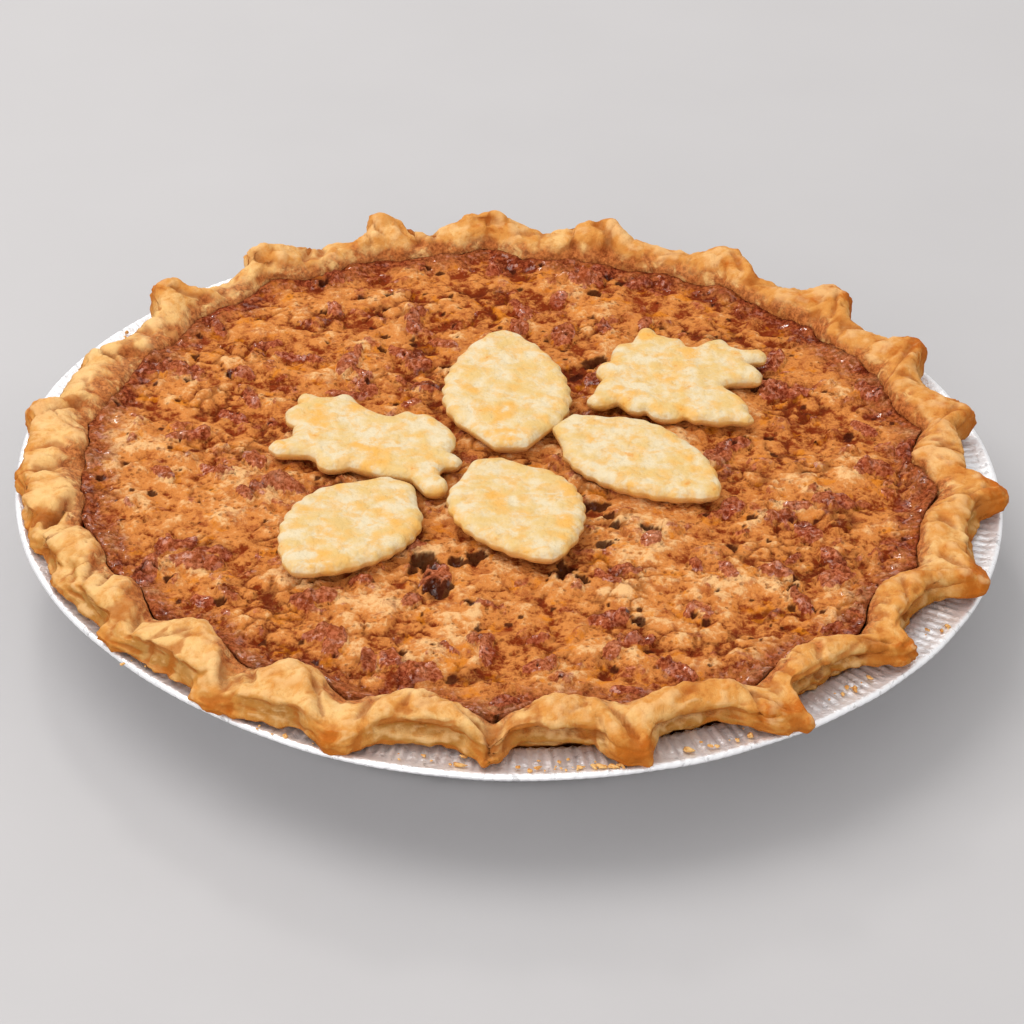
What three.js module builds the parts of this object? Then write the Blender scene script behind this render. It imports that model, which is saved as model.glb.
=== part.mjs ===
// A ten-inch pecan pie in its pressed foil tin, with six pastry leaves laid on top.
// Millimetres, +Z up. The origin is the middle of the tin's underside, and the pie's front faces -Y.
import * as THREE from 'three';

// Tin
const RIM_RADIUS = 132;
const TIN_DEPTH = 28;
const TIN_FLOOR_RADIUS = 96;
const FLANGE_WIDTH = 12.5;
const FOIL = 0.6;
const FLOOR_CORNER = 1.5;
const LIP_WIDTH = 4.5;
const LIP_DROP = 2.1;
const TIN_COLUMNS = 72;

// Pastry case
const PASTRY = 4;
const FIT_GAP = 0.3;
const CASE_CORNER = 3;
const COLUMNS_PER_FLUTE = 6;
const RIDGE_SHARPNESS = 2.6;

// Standing rim of the case
const CREST_OUTER = 118.5;
const CREST_ROUNDING = 2.8;
const CREST_DROP = 0.6;
const FACE_LEAN = 0.6;
const FACE_DROP = 3;
const TIP_SWELL = 0.6;
const PLAIN_SKIRT = 120;
const SHOULDER = 121.2;
const TONGUE_LENGTH = 4.5;
const TONGUE_LIP = 1.2;
const SKIRT_CLEARANCE = 0.5;
const SKIRT_LIP = 2.3;
const SKIRT_BEND = 6;

// Where a pinch's slope passes on its way from the filling to the tip, as shares of the way out and up
const SLOPE_TOP = [0.58, 1];
const SLOPE_MIDDLE = [0.3, 0.75];
const SLOPE_FOOT = [0.1, 0.38];

// Filling
const FILLING_EDGE_HEIGHT = 5;
const FILLING_RISE = 1.2;
const FILLING_RIPPLE = 0.5;
const FILLING_CORNER = 7;
const FILLING_SHOULDER = 4;
const FILLING_RINGS = [1, 0.94, 0.75, 0.5];

// Leaves
const LEAF_THICKNESS = 4.5;
const LEAF_ROUNDING = 1.1;
const LEAF_TEETH = 10;
const TOOTH_DEPTH = 0.9;
const LEAF_WIDEST = 0.4;
const STALK_WIDTH = 8;
const STALK_LENGTH = 4;

// Each pinch of the rim: its bearing in degrees, how far out it reaches and how high its tip stands above the
// flange. Of the hollow that follows it: how high the rim stands there, and how far out its foot is. Then how
// far the rim's inner side is from the middle, at the pinch and in the hollow.
const FLUTES = [
  { bearing: 12, reach: 130, tip: 10, hollow: 9.5, skirt: 120, throat: 114.5, bulge: 110.8 },
  { bearing: 27, reach: 131, tip: 11.5, hollow: 9.5, skirt: 120, throat: 113.5, bulge: 112 },
  { bearing: 42.5, reach: 131, tip: 11.5, hollow: 9.2, skirt: 120, throat: 114, bulge: 112.5 },
  { bearing: 59.5, reach: 129, tip: 12, hollow: 9, skirt: 120, throat: 114.4, bulge: 112.5 },
  { bearing: 77, reach: 129, tip: 12.3, hollow: 9, skirt: 120, throat: 113.5, bulge: 111.2 },
  { bearing: 94, reach: 127.5, tip: 12.6, hollow: 8.6, skirt: 120, throat: 116.5, bulge: 112.5 },
  { bearing: 108.5, reach: 129.5, tip: 12.8, hollow: 8, skirt: 120, throat: 115, bulge: 112.5 },
  { bearing: 126, reach: 128.5, tip: 11.4, hollow: 7, skirt: 120.5, throat: 116.5, bulge: 112.5 },
  { bearing: 141, reach: 129.5, tip: 12, hollow: 7, skirt: 121, throat: 112.5, bulge: 110 },
  { bearing: 157, reach: 127, tip: 7.4, hollow: 7.5, skirt: 125, throat: 110.5, bulge: 110 },
  { bearing: 172, reach: 131.5, tip: 7.5, hollow: 8, skirt: 127, throat: 113.5, bulge: 111.5 },
  { bearing: 184.5, reach: 129.5, tip: 6, hollow: 8.4, skirt: 126.5, throat: 111.5, bulge: 112.5 },
  { bearing: 197, reach: 128.5, tip: 5.4, hollow: 8.4, skirt: 125.6, throat: 114.5, bulge: 113 },
  { bearing: 209, reach: 128.4, tip: 5.4, hollow: 9, skirt: 125, throat: 113.5, bulge: 112 },
  { bearing: 221, reach: 129.6, tip: 5.4, hollow: 9.6, skirt: 125.4, throat: 115, bulge: 110.5 },
  { bearing: 237, reach: 130.4, tip: 5.4, hollow: 10, skirt: 126, throat: 114, bulge: 109.8 },
  { bearing: 251, reach: 132.5, tip: 6.5, hollow: 10, skirt: 121.5, throat: 114.5, bulge: 111 },
  { bearing: 269.3, reach: 130, tip: 6.6, hollow: 10, skirt: 119.8, throat: 115.5, bulge: 109.6 },
  { bearing: 285.6, reach: 133.2, tip: 6.5, hollow: 10, skirt: 119.5, throat: 114, bulge: 112 },
  { bearing: 302.5, reach: 135, tip: 6.5, hollow: 9.5, skirt: 119.5, throat: 116, bulge: 111.5 },
  { bearing: 320.5, reach: 131, tip: 7, hollow: 9.5, skirt: 119.8, throat: 116.5, bulge: 110.8 },
  { bearing: 338, reach: 133.5, tip: 8, hollow: 9.5, skirt: 123.5, throat: 114.5, bulge: 111 },
  { bearing: 356, reach: 133, tip: 8.5, hollow: 9, skirt: 121, throat: 115, bulge: 109 },
];

// The four oval leaves: where the stalk starts, which way the leaf points, and the tilt that lifts its tip.
const OVAL_LEAVES = [
  { name: 'leaf_back', stalk: [1, 2], heading: 93, length: 58, width: 34, tilt: 1.5 },
  { name: 'leaf_front', stalk: [-5, -6], heading: -70, length: 51, width: 34, tilt: 2 },
  { name: 'leaf_oval_right', stalk: [15, 15], heading: -40, length: 53, width: 31, tilt: 0 },
  { name: 'leaf_oval_left', stalk: [-27.5, -17.5], heading: -120, length: 51, width: 33, tilt: 1 },
];

// The two lobed leaves: the lobes' tips, their sides and the notches between them, seen from above.
const LOBED_LEAVES = [
  {
    name: 'leaf_lobed_right',
    outline: [
      [38, 65.2], [39.8, 64.2], [41, 61.3], [44, 60], [47.4, 59.7], [48.4, 57], [49.4, 55.2], [52, 55.6],
      [55, 58.6], [58.3, 60.6], [59.9, 59.8], [61, 56.6], [63.6, 54.8], [67, 54.9], [69.4, 55],
      [70.9, 52.6], [70.2, 50], [67.4, 49.6], [65, 48.2], [67.2, 45.6], [69, 42], [68.6, 39], [64.5, 38.6],
      [60.6, 38], [57.8, 36], [60, 32.6], [63, 29.4], [64.6, 26], [64.6, 22.4], [66, 19], [64.4, 17.8],
      [60.5, 18.6], [56.6, 17.6], [52.4, 18.6], [50, 18.2], [48, 20.6], [45.6, 18.8], [41.6, 18.2],
      [39, 19.8], [37.6, 23], [35.2, 21.8], [32.8, 22.6], [31.4, 25], [29.8, 27.2], [27, 25], [23.6, 24],
      [21.6, 26.2], [23.4, 29.2], [24.2, 33], [26.2, 37.6], [24.2, 41.4], [25, 44.8], [28.3, 46.6],
      [28.6, 52.4], [30.4, 56], [34, 57], [35.4, 61], [36.4, 64.4],
    ],
  },
  {
    name: 'leaf_lobed_left',
    outline: [
      [-55.4, 25.4], [-53.4, 24.4], [-50, 22.6], [-46.6, 23], [-44.6, 25.4], [-42.4, 25], [-40.4, 21.4],
      [-37, 18], [-34.4, 15.6], [-31.2, 14.4], [-28.8, 15.6], [-26.8, 17.3], [-24.4, 15.6], [-20.4, 15.4],
      [-18, 12.6], [-15.4, 9.4], [-13.8, 5.4], [-14, 1], [-15.6, -2.4], [-13, -4], [-11.8, -6.4],
      [-13, -8.6], [-16.2, -8.6], [-17.8, -11], [-17.4, -14.6], [-15.6, -16.8], [-15.4, -20.4],
      [-17.6, -21.8], [-20.6, -21.6], [-22.4, -18.8], [-24.4, -15], [-28, -14.2], [-33, -13.4],
      [-37.4, -11.4], [-41.2, -9.8], [-43.4, -11.2], [-46.6, -11.6], [-49, -10], [-49.8, -6.4], [-52, -4.6],
      [-56, -4.4], [-60.6, -4.8], [-62.8, -2], [-61.4, 0.6], [-58.6, 2], [-56.4, 3.6], [-56.8, 6.8],
      [-56.4, 9.6], [-58.8, 11.6], [-59.3, 16], [-57.4, 18.4], [-55.4, 19.6], [-56.4, 22.6],
    ],
  },
];

const RIM_COLUMNS = FLUTES.length * COLUMNS_PER_FLUTE;

const material = (name, color, roughness, metalness = 0) =>
  new THREE.MeshStandardMaterial({ name, color, roughness, metalness });

const FOIL_METAL = material('foil', 0xc9ccd1, 0.3, 1);
const BAKED_CRUST = material('crust', 0xd79a55, 0.75);
const PECAN_FILLING = material('filling', 0x8d4a25, 0.45);
const PALE_PASTRY = material('leaf', 0xefd09a, 0.7);

const point = (x, y) => new THREE.Vector2(x, y);
const mix = THREE.MathUtils.lerp;
const radians = THREE.MathUtils.degToRad;

// Radius of the tin's wall, on its inner side, at a height above the table.
function tinWallRadius(height) {
  const slope = (RIM_RADIUS - FLANGE_WIDTH - TIN_FLOOR_RADIUS) / TIN_DEPTH;
  return TIN_FLOOR_RADIUS + slope * height - FOIL;
}

// Radius of the pastry wall's inner side, which the filling meets.
const pastryWallRadius = (height) => tinWallRadius(height) - FIT_GAP - PASTRY;

// A solid of revolution whose section and bearing may change from column to column.
function turned(columns, sectionOf, bearingOf) {
  const geometry = new THREE.LatheGeometry(sectionOf(0), columns);
  const position = geometry.getAttribute('position');
  for (let column = 0; column <= columns; column += 1) {
    const section = sectionOf(column % columns);
    const bearing = bearingOf(column % columns);
    const along = new THREE.Vector2(Math.cos(bearing), Math.sin(bearing));
    section.forEach(({ x: radius, y: height }, row) => {
      position.setXYZ(column * section.length + row, radius * along.x, radius * along.y, height);
    });
  }
  geometry.computeVertexNormals();
  return geometry;
}

const evenly = (columns) => (column) => (column / columns) * 2 * Math.PI;

// Foil tin: flat floor, sloping wall, level flange and a lip rolled down at the edge.
function foilTin() {
  const wallTop = RIM_RADIUS - FLANGE_WIDTH;
  const section = [
    point(0, 0),
    point(TIN_FLOOR_RADIUS - FLOOR_CORNER, 0),
    point(tinWallRadius(2 * FOIL) + FOIL, 2 * FOIL),
    point(wallTop, TIN_DEPTH - FOIL),
    point(RIM_RADIUS - LIP_WIDTH, TIN_DEPTH - FOIL),
    point(RIM_RADIUS - 3 * FOIL, TIN_DEPTH - LIP_DROP),
    point(RIM_RADIUS - FOIL, TIN_DEPTH - LIP_DROP),
    point(RIM_RADIUS, TIN_DEPTH - LIP_DROP + FOIL),
    point(RIM_RADIUS - 2 * FOIL, TIN_DEPTH - FOIL / 3),
    point(RIM_RADIUS - LIP_WIDTH + FOIL, TIN_DEPTH),
    point(wallTop - FOIL, TIN_DEPTH),
    point(tinWallRadius(3 * FOIL), 3 * FOIL),
    point(tinWallRadius(0) - FLOOR_CORNER, FOIL),
    point(0, FOIL),
  ];
  return turned(TIN_COLUMNS, () => section, evenly(TIN_COLUMNS));
}

// How the rim stands at one column: 1 at a pinch, 0 in the middle of the hollow beside it.
function rimAt(column) {
  const flute = FLUTES[Math.floor(column / COLUMNS_PER_FLUTE)];
  const next = FLUTES[(FLUTES.indexOf(flute) + 1) % FLUTES.length];
  const share = (column % COLUMNS_PER_FLUTE) / COLUMNS_PER_FLUTE;
  const turn = (next.bearing - flute.bearing + 360) % 360;
  return {
    bearing: radians(flute.bearing + share * turn),
    pinch: Math.abs(Math.cos(Math.PI * share)) ** RIDGE_SHARPNESS,
    reach: mix(flute.reach, next.reach, share),
    tip: mix(flute.tip, next.tip, share),
    hollow: flute.hollow,
    skirt: flute.skirt,
    throat: mix(flute.throat, next.throat, share),
    bulge: flute.bulge,
  };
}

// Radius of the rim's inner side at one column, where the filling meets it.
function innerRadius(column) {
  const { pinch, throat, bulge } = rimAt(column);
  return mix(bulge, throat, pinch);
}

// Pastry case: floor and wall inside the tin, and a standing rim pinched out over the flange. In a hollow the rim
// stands up as a ridge, and at a pinch it slopes out from the filling to the tip.
function crustSection(column) {
  const { pinch, reach, tip, hollow, skirt } = rimAt(column);
  const out = (inHollow, atPinch) => mix(inHollow, atPinch, pinch);
  const spread = 0.3 * (skirt - PLAIN_SKIRT);
  const crest = TIN_DEPTH + hollow;
  const bend = TIN_DEPTH + out(SKIRT_BEND - spread / 3, 0.65 * tip);
  const shoulder = TIN_DEPTH + out(hollow - TONGUE_LIP, tip);
  const floor = FOIL + FIT_GAP;
  const wallTop = tinWallRadius(TIN_DEPTH);
  const inner = innerRadius(column);
  const shoulderHeight = TIN_DEPTH - FILLING_SHOULDER;
  const ridgeOrSlope = (radius, height, [shareOut, shareUp]) => {
    const slopeHeight = TIN_DEPTH + mix(FILLING_EDGE_HEIGHT, tip + TIP_SWELL, shareUp);
    return point(out(radius, mix(inner, reach, shareOut)), out(height, slopeHeight));
  };
  return [
    point(0, floor),
    point(tinWallRadius(0) - FLOOR_CORNER - 2 * FIT_GAP, floor),
    point(tinWallRadius(2) - FIT_GAP, 2),
    point(wallTop - 2 * FIT_GAP, TIN_DEPTH - FIT_GAP),
    point(wallTop + FIT_GAP, TIN_DEPTH + FIT_GAP),
    point(out(skirt, reach - TONGUE_LIP), TIN_DEPTH + SKIRT_CLEARANCE),
    point(out(skirt + FIT_GAP, reach), TIN_DEPTH + SKIRT_LIP),
    point(out(skirt + TONGUE_LIP - spread, reach - TONGUE_LIP), bend),
    point(out(SHOULDER + spread, reach - TONGUE_LENGTH), shoulder),
    ridgeOrSlope(CREST_OUTER, crest, SLOPE_TOP),
    ridgeOrSlope(inner + CREST_ROUNDING, crest - CREST_DROP, SLOPE_MIDDLE),
    ridgeOrSlope(inner + FACE_LEAN, crest - FACE_DROP, SLOPE_FOOT),
    point(inner, TIN_DEPTH + FILLING_EDGE_HEIGHT),
    point(pastryWallRadius(shoulderHeight), shoulderHeight),
    point(pastryWallRadius(floor + PASTRY + 2), floor + PASTRY + 2),
    point(pastryWallRadius(floor) - CASE_CORNER, floor + PASTRY),
    point(0, floor + PASTRY),
  ];
}

const rimBearing = (column) => rimAt(column).bearing;

const crust = () => turned(RIM_COLUMNS, crustSection, rimBearing);

// Height of the filling's top: a low dome with a slow ripple.
function fillingTop(x, y) {
  const share = Math.min(1, Math.hypot(x, y) / pastryWallRadius(TIN_DEPTH));
  const dome = FILLING_EDGE_HEIGHT + FILLING_RISE * (1 - share ** 3);
  const ripple = Math.sin(0.11 * x + 1.3) * Math.cos(0.13 * y + 0.4) * FILLING_RIPPLE;
  return TIN_DEPTH + dome + ripple * (1 - share ** 2);
}

function fillingSection(column) {
  const bearing = rimBearing(column);
  const floor = FOIL + 2 * FIT_GAP + PASTRY;
  const shoulderHeight = TIN_DEPTH - FILLING_SHOULDER;
  const top = (share) => {
    const radius = share * (innerRadius(column) - FIT_GAP);
    return point(radius, fillingTop(radius * Math.cos(bearing), radius * Math.sin(bearing)));
  };
  return [
    point(0, floor),
    point(pastryWallRadius(floor) - FILLING_CORNER, floor),
    point(pastryWallRadius(floor + 3) - FIT_GAP, floor + 3),
    point(pastryWallRadius(shoulderHeight) - FIT_GAP, shoulderHeight),
    ...FILLING_RINGS.map(top),
    point(0, fillingTop(0, 0)),
  ];
}

// The filling's section is turned from the top down, as the case's inner side is, so that the facets of the two
// lie alongside each other. Reversing the index then faces them outwards.
function filling() {
  const geometry = turned(RIM_COLUMNS, (column) => fillingSection(column).reverse(), rimBearing);
  geometry.getIndex().array.reverse();
  geometry.computeVertexNormals();
  return geometry;
}

// Half the width of an oval leaf at a share of its length, before its teeth.
function leafHalfWidth(width, share) {
  const rise = (share / LEAF_WIDEST) ** 0.5;
  const fall = ((1 - share) / (1 - LEAF_WIDEST)) ** 0.75;
  return (width / 2) * rise * fall;
}

// One edge of an oval leaf, from stalk to tip, with shallow teeth.
function leafEdge(length, width, side) {
  const edge = [];
  for (let step = 1; step < 2 * LEAF_TEETH; step += 1) {
    const share = step / (2 * LEAF_TEETH);
    const tooth = step % 2 ? TOOTH_DEPTH / 2 : -TOOTH_DEPTH / 2;
    const along = STALK_LENGTH + share * (length - STALK_LENGTH);
    edge.push(point(side * (leafHalfWidth(width, share) + tooth), along));
  }
  return edge;
}

function ovalOutline(length, width) {
  return [
    point(STALK_WIDTH / 2, 0),
    ...leafEdge(length, width, 1),
    point(0, length),
    ...leafEdge(length, width, -1).reverse(),
    point(-STALK_WIDTH / 2, 0),
  ];
}

// A leaf cut from rolled pastry, its underside level at z = 0 and its edges rounded.
function cutPastry(outline) {
  const geometry = new THREE.ExtrudeGeometry(new THREE.Shape(outline), {
    depth: LEAF_THICKNESS - 2 * LEAF_ROUNDING,
    bevelThickness: LEAF_ROUNDING,
    bevelSize: LEAF_ROUNDING,
    bevelOffset: -LEAF_ROUNDING,
    bevelSegments: 1,
  });
  geometry.translate(0, 0, LEAF_ROUNDING);
  return geometry;
}

// Sets a leaf down on the filling, so that its underside just clears the highest place under it.
function restOnFilling(leaf, outline) {
  leaf.updateMatrixWorld(true);
  const middle = outline.reduce((sum, corner) => sum.add(corner), point(0, 0)).divideScalar(outline.length);
  let clear = -Infinity;
  for (const { x, y } of outline) {
    for (const share of [0.1, 0.4, 0.7, 1]) {
      const spot = new THREE.Vector3(mix(middle.x, x, share), mix(middle.y, y, share), 0);
      leaf.localToWorld(spot);
      clear = Math.max(clear, fillingTop(spot.x, spot.y) - spot.z);
    }
  }
  leaf.position.z += clear + FIT_GAP;
}

function ovalLeaf({ name, stalk, heading, length, width, tilt }) {
  const outline = ovalOutline(length, width);
  const leaf = new THREE.Mesh(cutPastry(outline), PALE_PASTRY);
  leaf.name = name;
  leaf.position.set(stalk[0], stalk[1], 0);
  leaf.rotation.order = 'ZXY';
  leaf.rotation.set(radians(tilt), 0, radians(heading - 90));
  restOnFilling(leaf, outline);
  return leaf;
}

function lobedLeaf({ name, outline: corners }) {
  const outline = corners.map(([x, y]) => point(x, y));
  const leaf = new THREE.Mesh(cutPastry(outline), PALE_PASTRY);
  leaf.name = name;
  restOnFilling(leaf, outline);
  return leaf;
}

function named(name, geometry, surface) {
  const mesh = new THREE.Mesh(geometry, surface);
  mesh.name = name;
  return mesh;
}

const pie = new THREE.Group();
pie.add(named('foil_tin', foilTin(), FOIL_METAL));
pie.add(named('crust', crust(), BAKED_CRUST));
pie.add(named('filling', filling(), PECAN_FILLING));
OVAL_LEAVES.forEach((leaf) => pie.add(ovalLeaf(leaf)));
LOBED_LEAVES.forEach((leaf) => pie.add(lobedLeaf(leaf)));

export default pie;
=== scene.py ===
# Looks of a ten-inch pecan pie in its pressed foil tin, with six pastry leaves on top.
# The pie is modelled in millimetres, with the front at -Y, and each finished piece is turned to metres.
import random
from math import atan2, ceil, cos, degrees, exp, hypot, pi, radians, sin, sqrt

import bmesh
import bpy
from mathutils import Matrix, Vector, noise
from mathutils.bvhtree import BVHTree
from mathutils.kdtree import KDTree


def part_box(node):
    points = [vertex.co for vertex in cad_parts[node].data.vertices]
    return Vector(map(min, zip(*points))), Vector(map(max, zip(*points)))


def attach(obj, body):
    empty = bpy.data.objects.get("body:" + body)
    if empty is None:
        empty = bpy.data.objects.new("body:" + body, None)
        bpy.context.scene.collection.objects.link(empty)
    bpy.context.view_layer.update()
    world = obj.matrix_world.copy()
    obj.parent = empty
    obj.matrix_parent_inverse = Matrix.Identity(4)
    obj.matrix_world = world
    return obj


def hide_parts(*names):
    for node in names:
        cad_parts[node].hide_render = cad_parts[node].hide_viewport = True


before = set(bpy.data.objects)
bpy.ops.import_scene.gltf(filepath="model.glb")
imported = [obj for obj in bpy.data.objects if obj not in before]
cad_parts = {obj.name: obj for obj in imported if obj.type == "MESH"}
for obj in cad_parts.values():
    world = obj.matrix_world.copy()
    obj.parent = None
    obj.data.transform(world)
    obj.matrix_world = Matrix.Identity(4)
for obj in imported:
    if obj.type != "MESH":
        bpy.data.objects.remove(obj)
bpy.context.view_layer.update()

# Noise vectors are seeded from the clock unless they are given a seed.
noise.seed_set(3)

MM = 0.001
LEAVES = [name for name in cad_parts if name.startswith("leaf")]

# Tin
RIM_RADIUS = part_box("foil_tin")[1].x / MM
TIN_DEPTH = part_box("foil_tin")[1].z / MM
TIN_FLOOR_RADIUS = 96
FLANGE_WIDTH = 12.5
FOIL = 0.35
FLANGE_HEIGHT = TIN_DEPTH - 0.35
BEAD_RADIUS = 1.1
PLEATS = 288
PLEAT_DEPTH = 0.5
COLUMNS_PER_PLEAT = 4

# Pastry case
PASTRY = 4
WALL_TOP = RIM_RADIUS - FLANGE_WIDTH
CRUST_COLUMNS = 1150
STEPS_BETWEEN_KNOTS = 4
PLAIN_SKIRT = 120
WIDE_SKIRT = 127
TONGUE_RADIUS = 124
RIDGE_RADIUS = 119.6
CASE_FLOOR = 1
SMALL_CRACKS = 90
WRINKLE_DEPTH = 0.6

# Filling
FILLING_RADIUS = 117
FILLING_EDGE_HEIGHT = 5
FILLING_RISE = 1.2
FILLING_CELL = 0.68
FILLING_GAP = 0.15
COVERED_PECANS = 460
BARE_PECANS = 110
PECANS_WITHIN = 114
SMALL_BUBBLES = 260
BUBBLES_WITHIN = 109
STEPS_PER_DEGREE = 4

# Leaves
LEAF_CELL = 0.5
LEAF_CLEARANCE = 0.2
LEAF_ROUNDING = 2.5
LEAF_EDGE_SHARE = 0.55
LEAF_SMOOTHING = 5
LEAF_SPREAD = 0.45


class Flute:
    """A pinch of the rim, and the hollow that follows it."""

    def __init__(self, bearing, reach, tip, hollow, skirt, lift, before, after, lean, throat, bulge, foot,
                 gutter=1):
        self.bearing = bearing
        self.reach = reach
        self.tip = tip
        self.hollow = hollow
        self.skirt = skirt
        self.lift = lift
        self.before = before
        self.after = after
        self.lean = lean
        self.throat = throat
        self.bulge = bulge
        self.foot = foot
        self.gutter = gutter


# Bearing in degrees, reach, height of the tip above the flange, height of the hollow, radius of its foot,
# height of the tip's underside, half widths of the tongue before and after its tip, the tip's lean, the
# radius of the rim's inner side at the pinch and in the hollow, and the height of the hollow's foot above
# the flange. The last number, where one is given, is how far the pinch cuts through the standing ridge,
# from 0 to 1.
FLUTES = [
    Flute(12, 130, 10, 9.5, 120, 3, 3.5, 7, 1, 114.5, 110.8, 0.6),
    Flute(27, 131, 11.5, 9.5, 120, 3, 3.5, 7, 1, 113.5, 112, 0.6),
    Flute(42.5, 131, 11.5, 9.2, 120, 3, 3.5, 9, 0, 114, 112.5, 0.6),
    Flute(59.5, 129, 12, 9, 120, 2, 3.5, 9, 0, 114.4, 112.5, 0.6),
    Flute(77, 129, 12.3, 9, 120, 2, 4, 12, 0, 113.5, 111.2, 0.6),
    Flute(94, 127.5, 12.6, 8.8, 120, 2, 11, 10, 0, 116.5, 112.5, 0.6, 0.6),
    Flute(108.5, 129.5, 13.2, 8.6, 120, 2, 9, 3, 0, 115, 112.5, 0.6, 0.6),
    Flute(126, 128.5, 11.6, 7, 120.5, 2, 13, 3.5, 0, 116.5, 112.5, 0.6, 0.6),
    Flute(141, 129.5, 12, 7, 121, 2, 7, 4, 0, 112.5, 110, 0.6),
    Flute(157, 127, 7.4, 7.5, 125, 1, 6, 5, 0, 110.5, 110, 0.6),
    Flute(172, 131.5, 7.5, 8, 127, 1, 5.5, 5, -1.5, 113.5, 111.5, 0.6),
    Flute(184.5, 129.5, 6, 8.4, 126.5, 1, 5, 5, 0, 111.5, 112.5, 0.6),
    Flute(197, 128.5, 5, 8.4, 125.6, 1, 5, 5, 0, 114.5, 113, 0.6),
    Flute(209, 128.4, 5, 9, 125, 0.8, 5.5, 5, -1.5, 113.5, 112, 0.7),
    Flute(221, 129.6, 4.8, 9.6, 125.4, 0.6, 4.5, 5.5, -1.5, 115, 110.5, 0.8),
    Flute(237, 130.4, 5, 10, 126, 0.6, 6, 8, -1.5, 114, 109.8, 0.7),
    Flute(251, 132.5, 6.5, 10, 121.5, 0.6, 4, 9.5, 1, 114.5, 111, 1.4),
    Flute(269.3, 128.6, 6.2, 10, 119.8, 0.6, 4.6, 4.2, 0, 115.5, 109.6, 1.9),
    Flute(285.2, 133, 6.5, 10, 119.5, 0.5, 7, 4.4, 0, 114, 112, 2, 0.3),
    Flute(302.5, 135, 6.5, 9.5, 119.5, 0.8, 9, 4.2, 1, 116, 111.5, 1.8, 0.8),
    Flute(320.5, 131, 7, 9.5, 119.8, 1.6, 6, 5, 1, 116.5, 110.8, 1.4),
    Flute(338, 133.5, 8, 9.5, 123.5, 2.6, 6, 8, 0, 114.5, 111, 1),
    Flute(356, 133, 8.5, 9, 121, 3, 5, 6, 0, 115, 109, 0.6),
]


def mix(first, second, share):
    return first + (second - first) * share


def eased(low, high, value):
    """0 below low, 1 above high, and an even curve between them."""
    share = min(1, max(0, (value - low) / (high - low)))
    return share * share * (3 - 2 * share)


def lumps(place, size, seed=0.0):
    """Smooth relief between about -1 and 1, in lumps of a given size."""
    return noise.noise(place / size + Vector((seed, 2.3 * seed, -1.7 * seed)))


def around(bearing, radius, height):
    """The point at a bearing in radians."""
    return Vector((radius * cos(bearing), radius * sin(bearing), height))


class Value:
    """A number that varies over a surface. Arithmetic on it adds Math nodes to its finish."""

    def __init__(self, finish, socket):
        self.finish = finish
        self.socket = socket

    def __add__(self, other):
        return self.finish.maths("ADD", self, other)

    def __radd__(self, other):
        return self.finish.maths("ADD", other, self)

    def __sub__(self, other):
        return self.finish.maths("SUBTRACT", self, other)

    def __rsub__(self, other):
        return self.finish.maths("SUBTRACT", other, self)

    def __mul__(self, other):
        return self.finish.maths("MULTIPLY", self, other)

    def __rmul__(self, other):
        return self.finish.maths("MULTIPLY", other, self)


class Finish:
    """A material, and the patterns worked into it."""

    def __init__(self, name, **constants):
        self.material = bpy.data.materials.new(name)
        self.material.use_nodes = True
        self.tree = self.material.node_tree
        self.shader = self.tree.nodes["Principled BSDF"]
        for socket, value in constants.items():
            self.shader.inputs[socket.replace("_", " ")].default_value = value
        self.place = self.node("ShaderNodeTexCoord", output="Object")

    def node(self, kind, settings=None, inputs=None, output=0):
        made = self.tree.nodes.new(kind)
        for name, value in (settings or {}).items():
            setattr(made, name, value)
        for name, value in (inputs or {}).items():
            self.feed(made.inputs[name], value)
        return Value(self, made.outputs[output])

    def feed(self, socket, value):
        if isinstance(value, Value):
            self.tree.links.new(value.socket, socket)
        else:
            socket.default_value = value

    def maths(self, operation, *values):
        return self.node("ShaderNodeMath", {"operation": operation}, dict(enumerate(values)))

    def between(self, value, low, high):
        """0 where value is under low, 1 where it is over high."""
        inputs = {"Value": value, "From Min": low, "From Max": high}
        return self.node("ShaderNodeMapRange", {"interpolation_type": "SMOOTHSTEP"}, inputs)

    def blend(self, share, first, second):
        """Mixes two colours. A colour is (red, green, blue, 1)."""
        inputs = {"Factor": share, 6: first, 7: second}
        return self.node("ShaderNodeMix", {"data_type": "RGBA"}, inputs, 2)

    def noise(self, size, detail, roughness, distortion=0.0):
        """Cloudy pattern with patches about size millimetres across."""
        inputs = {
            "Vector": self.place,
            "Scale": 1 / (size * MM),
            "Detail": detail,
            "Roughness": roughness,
            "Distortion": distortion,
        }
        return self.node("ShaderNodeTexNoise", {}, inputs)

    def cells(self, size):
        """Distance to the middle of the nearest cell, with cells about size millimetres across."""
        inputs = {"Vector": self.place, "Scale": 1 / (size * MM)}
        return self.node("ShaderNodeTexVoronoi", {}, inputs, "Distance")

    def worked(self, name):
        """A value that the modelled piece carries on its surface."""
        return self.node("ShaderNodeAttribute", {"attribute_name": name}, output="Fac")

    def bump(self, height, depth, below=None):
        """Fine relief, with a height of 1 standing depth millimetres out from the surface."""
        inputs = {"Height": height, "Distance": depth * MM, "Strength": 1.0}
        if below is not None:
            inputs["Normal"] = below
        return self.node("ShaderNodeBump", {}, inputs)

    def wear(self, **values):
        """Feeds the shader's sockets and returns the finished material."""
        for socket, value in values.items():
            self.feed(self.shader.inputs[socket.replace("_", " ")], value)
        return self.material


def colour(red, green, blue):
    """A colour as seen on a screen, from 0 to 255, in the shader's own linear values."""
    return tuple((part / 255 / 12.92) if part < 11 else ((part / 255 + 0.055) / 1.055) ** 2.4
                 for part in (red, green, blue)) + (1.0,)


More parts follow.
